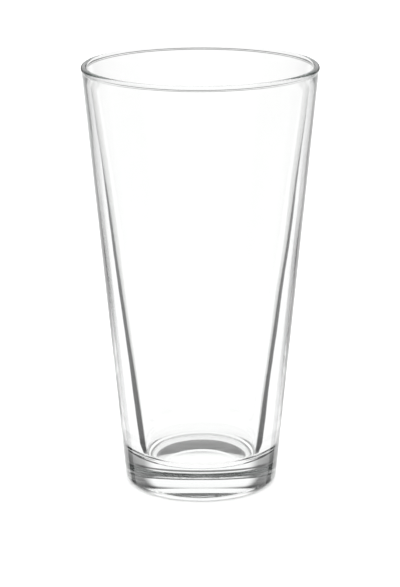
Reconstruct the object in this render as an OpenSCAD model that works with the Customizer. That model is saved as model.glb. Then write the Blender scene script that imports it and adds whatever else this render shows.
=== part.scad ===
// Straight-sided conical pint glass, pressed in one piece of clear soda-lime glass.
// Millimetres. +Z is up, the origin is the centre of the ring that the glass stands on.

/* [Size] */
// Height from the standing ring to the top of the lip
height = 168.15; // [150:0.05:185]
// Widest diameter, at the lip
lip_d = 91.95; // [88:0.05:96]
// Diameter of the outer cone where it would meet the table
base_d = 60; // [56:0.5:64]

/* [Lip] */
// Thickness of the fire-polished lip
lip_t = 2.4; // [2.2:0.1:2.8]
// How far the lip's bead stands out of the outer cone
bead = 0.25; // [0.1:0.05:0.4]

/* [Bowl] */
// Height of the bowl's floor above the table
floor_z = 12; // [10:0.5:18]
// Diameter of the bowl's cone where it would meet the floor
bowl_d = 44.6; // [42:0.2:50]
// How far the wall swells towards the bowl just under the lip
lip_step = 0.12; // [0.05:0.01:0.2]
// Radius of the fillet round the floor
floor_fillet = 4.5; // [3:0.1:9]

/* [Foot] */
// Radius of the heel, between the wall and the standing ring
heel_r = 2.8; // [2:0.1:6]
// Diameter of the hollow under the base
punt_d = 40; // [30:0.5:44]
// Depth of that hollow at its centre
punt_depth = 2; // [1:0.1:4]

/* [Hidden] */
$fn = 128;

lip_r = lip_t / 2;                    // the lip is a full round
lip_c = [lip_d / 2 - lip_r, height - lip_r];   // centre of that round
wall_top = [lip_d / 2 - bead, lip_c.y];        // the outer cone's top edge
bowl_top = [lip_c.x - lip_r + lip_step, lip_c.y];  // the bowl cone's top edge

outer_lean = atan((wall_top.x - base_d / 2) / wall_top.y);
bowl_lean = atan((bowl_top.x - bowl_d / 2) / (bowl_top.y - floor_z));

// Centre of a round of radius r that touches the level line z = z0 and, on its right,
// the cone line that starts at [x0, z0] and leans outwards by the angle lean.
function round_centre(x0, z0, lean, r) = [x0 + r * tan(lean) - r / cos(lean), z0 + r];

// Point where that round meets the cone line
function cone_touch(c, lean, r) = c + r * [cos(lean), -sin(lean)];

heel_c = round_centre(base_d / 2, 0, outer_lean, heel_r);
heel_t = cone_touch(heel_c, outer_lean, heel_r);
fillet_c = round_centre(bowl_d / 2, floor_z, bowl_lean, floor_fillet);
fillet_t = cone_touch(fillet_c, bowl_lean, floor_fillet);

// Radius of the shallow sphere that shapes the hollow under the base
punt_r = (pow(punt_d / 2, 2) + pow(punt_depth, 2)) / (2 * punt_depth);
over = 1;   // how far a cut runs past the surface it opens

// Outside of the glass, as half of an upright section
module outside_section() {
    polygon([[0, 0], [heel_c.x, 0], heel_t, wall_top, [0, wall_top.y]]);
    translate(heel_c) circle(r = heel_r);
}

// Hollow of the bowl, open at the top
module bowl_section() {
    polygon([[0, floor_z], [fillet_c.x, floor_z], fillet_t, bowl_top,
             [bowl_top.x, height + over], [0, height + over]]);
    translate(fillet_c) circle(r = floor_fillet);
}

// Hollow under the base
module punt_section() {
    translate([0, punt_depth - punt_r]) circle(r = punt_r, $fn = 512);
}

// The whole glass: thick base, tapering wall and round lip are one pressed solid
module glass() {
    color([0.86, 0.9, 0.9, 0.35])
    rotate_extrude($fn = 256) {
        difference() {
            outside_section();
            bowl_section();
            punt_section();
        }
        translate(lip_c) circle(r = lip_r);
    }
}

glass();
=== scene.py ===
# %% [markdown]
# # A pint glass
# The real object is one piece of clear glass: a gob of molten soda-lime glass is pressed and blown in
# a round mould, then its lip is melted smooth in a flame. So there is one piece to make here, and all
# the work is in its section, in the small marks that moulding and use leave on it, and in the light,
# because clear glass shows nothing but what it bends and reflects.
#
# The frame holds the engineering model of the glass at its real size. Everything below is in metres,
# in that same frame, with +Z up and the table at Z = 0.

# %% Load the frame
import math

import bmesh
import bpy
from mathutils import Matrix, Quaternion, Vector, noise


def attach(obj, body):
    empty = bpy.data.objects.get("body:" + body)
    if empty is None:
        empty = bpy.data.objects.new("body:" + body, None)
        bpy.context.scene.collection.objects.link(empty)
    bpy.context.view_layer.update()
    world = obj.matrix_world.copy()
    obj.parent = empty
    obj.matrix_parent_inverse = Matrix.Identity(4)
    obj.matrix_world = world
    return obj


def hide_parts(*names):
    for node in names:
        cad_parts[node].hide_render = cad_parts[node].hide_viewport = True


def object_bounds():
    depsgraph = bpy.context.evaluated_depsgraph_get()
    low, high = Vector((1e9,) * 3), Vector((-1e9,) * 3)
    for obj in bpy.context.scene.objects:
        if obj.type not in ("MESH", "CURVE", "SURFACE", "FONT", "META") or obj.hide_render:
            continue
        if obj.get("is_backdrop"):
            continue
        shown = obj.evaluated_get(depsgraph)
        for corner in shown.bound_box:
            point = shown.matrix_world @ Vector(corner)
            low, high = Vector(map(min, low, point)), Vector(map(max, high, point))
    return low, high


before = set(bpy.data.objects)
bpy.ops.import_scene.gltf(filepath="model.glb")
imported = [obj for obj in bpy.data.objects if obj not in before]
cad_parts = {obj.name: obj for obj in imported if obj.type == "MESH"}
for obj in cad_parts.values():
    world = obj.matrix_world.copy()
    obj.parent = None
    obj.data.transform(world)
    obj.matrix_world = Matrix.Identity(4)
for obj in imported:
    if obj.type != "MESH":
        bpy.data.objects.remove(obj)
cad_low, cad_high = (list(corner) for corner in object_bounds())
MM = 0.001
print("frame box:", cad_low, cad_high)

# %% [markdown]
# ## The section
# A mould for a round glass is turned on a lathe, so the glass is fully described by half of its upright
# section. The driving sizes are the same as in the engineering model: the height and the lip come from
# the frame's box, and the rest are its own named dimensions.

# %% Driving sizes
height = cad_high[2] - cad_low[2]
lip_radius = (cad_high[0] - cad_low[0]) / 2
base_radius = 30 * MM         # the outer cone where it would meet the table
floor_height = 12.0 * MM      # the bowl's floor
bowl_radius = 22.3 * MM       # the bowl's cone where it would meet the floor
lip_round = 1.2 * MM          # the lip is a full round of this radius
bead = 0.25 * MM              # the lip stands out of the cone by this much
floor_fillet = 4.5 * MM
heel_round = 2.8 * MM
punt_radius = 20 * MM         # the shallow hollow under the base
punt_depth = 2 * MM
lip_step = 0.12 * MM          # the lip's round stands into the bowl, past its wall, by this much

lip_centre = Vector((lip_radius - lip_round, height - lip_round))
outer_lean = math.atan((lip_radius - bead - base_radius) / lip_centre.y)
bowl_top_radius = lip_centre.x - lip_round + lip_step
bowl_lean = math.atan((bowl_top_radius - bowl_radius) / (lip_centre.y - floor_height))
print(f"height {height / MM:.2f} mm, lip {2 * lip_radius / MM:.2f} mm across")
print(f"outer lean {math.degrees(outer_lean):.2f}, bowl lean {math.degrees(bowl_lean):.2f} degrees")

# %% [markdown]
# Two kinds of line make up the section: straight runs and arcs. Each helper returns points of
# (radius, height). A round in a corner touches both of its lines, so its centre is worked out from
# them, and no joint in the section shows as a crease in the glass.


# %% Section helpers
def run(start, end, count):
    """Points along a straight run, without its last one."""
    return [Vector(start).lerp(Vector(end), i / count) for i in range(count)]


def arc(centre, radius, first, last, count):
    """Points along an arc between two angles in degrees, without its last one."""
    points = []
    for i in range(count):
        angle = math.radians(first + (last - first) * i / count)
        points.append(centre + radius * Vector((math.cos(angle), math.sin(angle))))
    return points


def corner_centre(cone_radius, level, lean, radius):
    """Centre of a round between the level line and a cone that leans outwards."""
    across = cone_radius + radius * math.tan(lean) - radius / math.cos(lean)
    return Vector((across, level + radius))


heel_centre = corner_centre(base_radius, 0, outer_lean, heel_round)
fillet_centre = corner_centre(bowl_radius, floor_height, bowl_lean, floor_fillet)
outer_degrees = math.degrees(outer_lean)
bowl_degrees = math.degrees(bowl_lean)

# %% [markdown]
# The outline starts at the middle of the hollow underneath and ends at the middle of the bowl's floor.
# The hollow is a shallow dome. The standing ring is level, and the heel, wall and lip follow.
# Points are close together where the glass curves and far apart along the straight wall.

# %% The outline
outline = []
dome_steps = 24
for i in range(1, dome_steps):
    share = i / dome_steps
    outline.append(Vector((punt_radius * share, punt_depth * (1 - share ** 2))))
ring_inner = Vector((punt_radius, 0))
ring_outer = Vector((heel_centre.x, 0))
ring_start = len(outline)
outline += run(ring_inner, ring_outer, 14)
ring_end = len(outline)
outline += arc(heel_centre, heel_round, -90, -outer_degrees, 20)
heel_top = heel_centre + heel_round * Vector((math.cos(outer_lean), -math.sin(outer_lean)))
cone_slope = math.tan(outer_lean)
bowl_slope = math.tan(bowl_lean)


def on_circle(degrees):
    """A point on the lip's round, at an angle from level and outwards."""
    angle = math.radians(degrees)
    return lip_centre + lip_round * Vector((math.cos(angle), math.sin(angle)))


def bend(start, corner, end, count):
    """A short smooth bend between two runs that would meet at a corner, without its last point."""
    points = []
    for i in range(count):
        share = i / count
        points.append(start.lerp(corner, share).lerp(corner.lerp(end, share), share))
    return points


bead_under = -44      # degrees round the lip where the bead comes out of the cone
bead_turn = -22       # where it has turned into the lip's round
bead_reach = 0.45 * MM
inner_turn = 190      # where the round has reached the inside
inner_under = 205     # where it leaves for the bowl
inner_reach = 0.8 * MM
bead_edge = on_circle(bead_under)
bead_low_z = bead_edge.y - bead_reach
bead_low = Vector((base_radius + bead_low_z * cone_slope, bead_low_z))
outline += run(heel_top, bead_low, 40)
outline += bend(bead_low, bead_edge, on_circle(bead_turn), 8)
outline += arc(lip_centre, lip_round, bead_turn, inner_turn, 34)
inner_edge = on_circle(inner_under)
inner_low_z = inner_edge.y - inner_reach
inner_low = Vector((bowl_radius + (inner_low_z - floor_height) * bowl_slope, inner_low_z))
inside_start = len(outline)
outline += bend(on_circle(inner_turn), inner_edge, inner_low, 6)
fillet_top = fillet_centre + floor_fillet * Vector((math.cos(bowl_lean), -math.sin(bowl_lean)))
outline += run(inner_low, fillet_top, 44)
outline += arc(fillet_centre, floor_fillet, -bowl_degrees, -90, 22)
floor_edge = Vector((fillet_centre.x, floor_height))
outline += run(floor_edge, Vector((0, floor_height)), 16)
print("points in the outline:", len(outline))

# %% [markdown]
# ## Turning the section into glass
# The outline is turned round the axis, as on a lathe. Two things keep it from looking like a drawing.
# The inside of a blown wall is never quite true, so the bowl's radius wanders by a few hundredths of a
# millimetre. And the standing ring is stippled with shallow pits, which the mould presses in so that
# the hot glass rests on a few high points and doesn't grip the cooling belt.

# %% Lathe
segments = 480
pit_size = 0.9 * MM
pit_depth = 0.12 * MM
wander = 0.03 * MM


def wall_wander(turn, z):
    """How far the bowl's wall is from true, as a sum of slow waves round it and up it."""
    up = z / height * math.tau
    slow = math.sin(2 * turn + 1.1 * up + 0.4) + 0.6 * math.sin(3 * turn - 1.7 * up + 2.0)
    quick = 0.35 * math.sin(7 * turn + 2.3 * up + 1.0) + 0.25 * math.sin(5 * turn - 4.1 * up)
    return wander * (slow + quick)


def lathe_point(index, turn):
    """Where one outline point lands after a turn, with the pits and the wander added."""
    radius, z = outline[index]
    if ring_start < index < ring_end:
        share = (index - ring_start) / (ring_end - ring_start)
        spot = Vector((math.cos(turn), math.sin(turn), 0)) * radius / pit_size
        z += pit_depth * math.sin(math.pi * share) ** 2 * (0.5 + 0.5 * noise.noise(spot))
    if index >= inside_start:
        radius += wall_wander(turn, z) * min(1, radius / bowl_radius) ** 2
    return (radius * math.cos(turn), radius * math.sin(turn), z)


mesh = bmesh.new()
rings = []
for index in range(len(outline)):
    turns = [math.tau * i / segments for i in range(segments)]
    rings.append([mesh.verts.new(lathe_point(index, turn)) for turn in turns])
under_middle = mesh.verts.new((0, 0, punt_depth))
floor_middle = mesh.verts.new((0, 0, floor_height))
for lower, upper in zip(rings, rings[1:]):
    for i in range(segments):
        j = (i + 1) % segments
        mesh.faces.new((lower[i], lower[j], upper[j], upper[i]))
for i in range(segments):
    j = (i + 1) % segments
    mesh.faces.new((under_middle, rings[0][j], rings[0][i]))
    mesh.faces.new((floor_middle, rings[-1][i], rings[-1][j]))
bmesh.ops.recalc_face_normals(mesh, faces=mesh.faces)
glass_mesh = bpy.data.meshes.new("pint_glass")
mesh.to_mesh(glass_mesh)
mesh.free()
glass_mesh.polygons.foreach_set("use_smooth", [True] * len(glass_mesh.polygons))
glass = bpy.data.objects.new("pint_glass", glass_mesh)
bpy.context.scene.collection.objects.link(glass)
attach(glass, "root")
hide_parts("glass")
print("faces:", len(glass_mesh.polygons))

# %% [markdown]
# ## Clear glass
# Soda-lime glass bends light by 1.52. Its faint tint is an absorption inside the solid, not a colour
# on the surface, so it hardly shows in the wall and does show in the thick base. The index, the
# transmission and the absorption are the same everywhere, so they are plain numbers on their sockets.

# %% The glass and its body
material = bpy.data.materials.new("clear_glass")
material.use_nodes = True
nodes = material.node_tree.nodes
links = material.node_tree.links
nodes.clear()
output = nodes.new("ShaderNodeOutputMaterial")
shader = nodes.new("ShaderNodeBsdfPrincipled")
shader.inputs["Transmission Weight"].default_value = 1.0
shader.inputs["IOR"].default_value = 1.52
absorption = nodes.new("ShaderNodeVolumeAbsorption")
absorption.inputs["Color"].default_value = (0.78, 0.81, 0.80, 1)
absorption.inputs["Density"].default_value = 5.0
links.new(shader.outputs["BSDF"], output.inputs["Surface"])
links.new(absorption.outputs["Volume"], output.inputs["Volume"])
glass_mesh.materials.append(material)

# %% [markdown]
# ## Marks of making and of use
# A fire-polished surface is sharp, but it isn't perfect. It rolls very slightly where the parison
# cooled against the mould, which a soft bump gives. Handling leaves a faint film in patches. The pits
# of the standing ring touch every table and tray, so there the polish is scuffed to a frost, in specks
# that thin out up the heel.

# %% Tools for the surface
place = nodes.new("ShaderNodeTexCoord").outputs["Object"]


def clouds(size, detail):
    """Soft noise from 0 to 1 whose lumps are about one size across."""
    node = nodes.new("ShaderNodeTexNoise")
    node.inputs["Scale"].default_value = 1 / size
    node.inputs["Detail"].default_value = detail
    links.new(place, node.inputs["Vector"])
    return node.outputs["Fac"]


def spread(value, from_low, from_high, to_low, to_high):
    """A value moved from one range to another and held inside it."""
    node = nodes.new("ShaderNodeMapRange")
    ends = {"From Min": from_low, "From Max": from_high, "To Min": to_low, "To Max": to_high}
    for name, end in ends.items():
        node.inputs[name].default_value = end
    links.new(value, node.inputs["Value"])
    return node.outputs["Result"]


def combine(kind, first, second):
    """Two changing values joined by one Math node."""
    node = nodes.new("ShaderNodeMath")
    node.operation = kind
    links.new(first, node.inputs[0])
    links.new(second, node.inputs[1])
    return node.outputs[0]


# %% Frost and film
parts = nodes.new("ShaderNodeSeparateXYZ")
links.new(place, parts.inputs[0])
frost_full = 0.1 * MM      # below this height the scuffs are at their thickest
frost_none = 0.9 * MM      # above this one there are none
speck_size = 0.6 * MM
patch_size = 22 * MM
frost_rough = 0.3
film_rough = 0.012
near_table = spread(parts.outputs["Z"], frost_full, frost_none, 1.0, 0.0)
specks = spread(clouds(speck_size, 3.0), 0.42, 0.58, 0.0, 1.0)
frost = spread(combine("MULTIPLY", near_table, specks), 0.0, 1.0, 0.0, frost_rough)
film = spread(clouds(patch_size, 4.0), 0.5, 0.75, 0.0, film_rough)
links.new(combine("ADD", frost, film), shader.inputs["Roughness"])

# %% Tone and roll
tone = nodes.new("ShaderNodeMix")
tone.data_type = "RGBA"
tone.inputs["A"].default_value = (1.0, 1.0, 1.0, 1)
tone.inputs["B"].default_value = (0.985, 0.99, 0.985, 1)
links.new(clouds(30 * MM, 2.0), tone.inputs["Factor"])
links.new(tone.outputs["Result"], shader.inputs["Base Color"])
roll_bump = nodes.new("ShaderNodeBump")
roll_bump.inputs["Strength"].default_value = 0.5
roll_bump.inputs["Distance"].default_value = 0.02 * MM
links.new(clouds(14 * MM, 1.0), roll_bump.inputs["Height"])
links.new(roll_bump.outputs["Normal"], shader.inputs["Normal"])
print("glass nodes:", len(nodes))

# %% [markdown]
# ## The studio
# Clear glass is photographed against light. A white sweep behind it fills it with light, and black
# cards at its sides are bent into its edges and draw them as dark lines. The sweep and the cards are
# painted on the world by direction, so they are always far from the glass. Two things are eased: the
# camera itself sees plain white behind the glass, and the floor is lit evenly to stay pale. The price
# is that the cards are placed for the front view. From the side, or from nearly level, the glass shows
# them as grey while the ground behind it stays white.

# %% World helpers
world = bpy.data.worlds.new("studio")
bpy.context.scene.world = world
world.use_nodes = True
wnodes = world.node_tree.nodes
wlinks = world.node_tree.links
wnodes.clear()


def world_math(kind, first, second=0.0):
    """A Math node in the world's tree, fed by sockets or plain numbers."""
    node = wnodes.new("ShaderNodeMath")
    node.operation = kind
    for socket, value in zip(node.inputs, (first, second)):
        if isinstance(value, (int, float)):
            socket.default_value = value
        else:
            wlinks.new(value, socket)
    return node.outputs[0]


def world_step(angle, edge, soft):
    """0 below an edge and 1 above it, with a soft change over twice soft degrees."""
    node = wnodes.new("ShaderNodeMapRange")
    node.interpolation_type = "SMOOTHSTEP"
    node.inputs["From Min"].default_value = edge - soft
    node.inputs["From Max"].default_value = edge + soft
    wlinks.new(angle, node.inputs["Value"])
    return node.outputs["Result"]


def world_band(angle, low, high, soft):
    """1 between two angles and 0 outside them."""
    return world_math("SUBTRACT", world_step(angle, low, soft), world_step(angle, high, soft))


# %% Directions
# Rise is the angle above level. Around is the angle from straight behind the glass, 180 being the
# camera's own side.
coordinates = wnodes.new("ShaderNodeTexCoord")
split = wnodes.new("ShaderNodeSeparateXYZ")
wlinks.new(coordinates.outputs["Generated"], split.inputs[0])
in_degrees = 180 / math.pi
rise = world_math("MULTIPLY", world_math("ARCSINE", split.outputs["Z"]), in_degrees)
around = world_math("ARCTAN2", split.outputs["X"], split.outputs["Y"])
around = world_math("MULTIPLY", world_math("ABSOLUTE", around), in_degrees)
above = world_step


def below(angle, edge, soft):
    """1 below an edge and 0 above it."""
    return world_math("SUBTRACT", 1.0, world_step(angle, edge, soft))


def shaded(light, black, *windows):
    """The light with one dark thing in it, which is where all of its windows overlap."""
    for window in windows:
        black = world_math("MULTIPLY", black, window)
    return world_math("MULTIPLY", light, world_math("SUBTRACT", 1.0, black))


# %% [markdown]
# ## Backdrop and cards
# One light reaches the glass from each direction, whatever path it then takes inside. Behind and below
# it is a white sweep. Long black cards stand at both sides and reach below table level, and a narrow
# strip slopes away under each of them, which is what draws the line down the inside of the wall. The
# ceiling and the room behind the camera are dark, and so is a strip near level behind the glass.

# %% Ceiling, room and side cards
backdrop_light = 1.36
ceiling_edge = 36
card_foot = -13
studio = shaded(backdrop_light, 0.82, above(rise, ceiling_edge, 4))
studio = shaded(studio, 0.85, world_band(around, 32, 118, 6), above(rise, card_foot, 4))
studio = shaded(studio, 0.97, above(around, 100, 8), above(rise, 3, 2))

# %% Level strip and sloping strips
strip_slope = 1.6
studio = shaded(studio, 0.8, below(around, 45, 6), world_band(rise, -6, 5, 1.5))
sloped = world_math("ADD", around, world_math("MULTIPLY", rise, strip_slope))
studio = shaded(studio, 0.97, world_band(sloped, 2.4, 15.4, 1.5), world_band(rise, -34, -17, 2))

# %% [markdown]
# The floor and the camera each get a plain light of their own in place of the studio, and the result
# goes to the world as one strength.

# %% World light
path = wnodes.new("ShaderNodeLightPath")
floor_light = 2.1
ground_white = 1.05
on_floor = world_math("GREATER_THAN", path.outputs["Diffuse Depth"], 0.5)


def choose(first, second, which):
    """The first light, or the second where which is 1."""
    return world_math("ADD", first, world_math("MULTIPLY", which, world_math("SUBTRACT", second, first)))


light = choose(studio, floor_light, on_floor)
light = choose(light, ground_white, path.outputs["Is Camera Ray"])
background = wnodes.new("ShaderNodeBackground")
wlinks.new(light, background.inputs["Strength"])
world_out = wnodes.new("ShaderNodeOutputWorld")
wlinks.new(background.outputs[0], world_out.inputs["Surface"])

# %% [markdown]
# ## Floor
# A pale matt floor takes the contact shadow. It is left out of what the glass bends and mirrors, so
# below table level the glass still sees the white sweep.

# %% Floor
floor_size = 6.0
floor_mesh = bpy.data.meshes.new("floor")
half = floor_size / 2
corners = [(-half, -half, 0), (half, -half, 0), (half, half, 0), (-half, half, 0)]
floor_mesh.from_pydata(corners, [], [(0, 1, 2, 3)])
floor = bpy.data.objects.new("floor", floor_mesh)
bpy.context.scene.collection.objects.link(floor)
floor_material = bpy.data.materials.new("pale_floor")
floor_material.use_nodes = True
floor_shader = floor_material.node_tree.nodes["Principled BSDF"]
floor_shader.inputs["Base Color"].default_value = (0.9, 0.9, 0.9, 1)
floor_shader.inputs["Roughness"].default_value = 0.9
floor_shader.inputs["Specular IOR Level"].default_value = 0.0
floor_mesh.materials.append(floor_material)
floor.visible_transmission = False
floor.visible_glossy = False
floor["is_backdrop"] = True

# %% [markdown]
# ## Camera
# A long lens a little above the rim shows the mouth as a slim ellipse and keeps the walls straight.

# %% Camera
camera_data = bpy.data.cameras.new("camera")
camera = bpy.data.objects.new("camera", camera_data)
bpy.context.scene.collection.objects.link(camera)
bpy.context.scene.camera = camera
distance = 0.92
elevation = math.radians(15.4)
middle = height / 2
aim_left = 0.3 * MM
aim_drop = 7.5 * MM
aim = Vector((-aim_left, 0, middle - aim_drop))
camera.location = Vector((0, -distance * math.cos(elevation), middle + distance * math.sin(elevation)))
camera_data.sensor_width = 36
camera_data.lens = 143.2
roll = math.radians(-0.15)
direction = aim - camera.location
camera.rotation_mode = "QUATERNION"
camera.rotation_quaternion = direction.to_track_quat("-Z", "Y")
camera.rotation_quaternion = camera.rotation_quaternion @ Quaternion((0, 0, 1), roll)

# %% [markdown]
# Light that enters the edge of a wall is led round inside it for dozens of turns. If the count of
# bounces ends too early, that light is lost and the edge turns grey, so the count is high.

# %% Render settings that belong to glass
scene = bpy.context.scene
scene.view_settings.view_transform = "Standard"
led_bounces = 160
scene.cycles.max_bounces = led_bounces
scene.cycles.transmission_bounces = 32
scene.cycles.glossy_bounces = led_bounces
scene.cycles.use_denoising = True
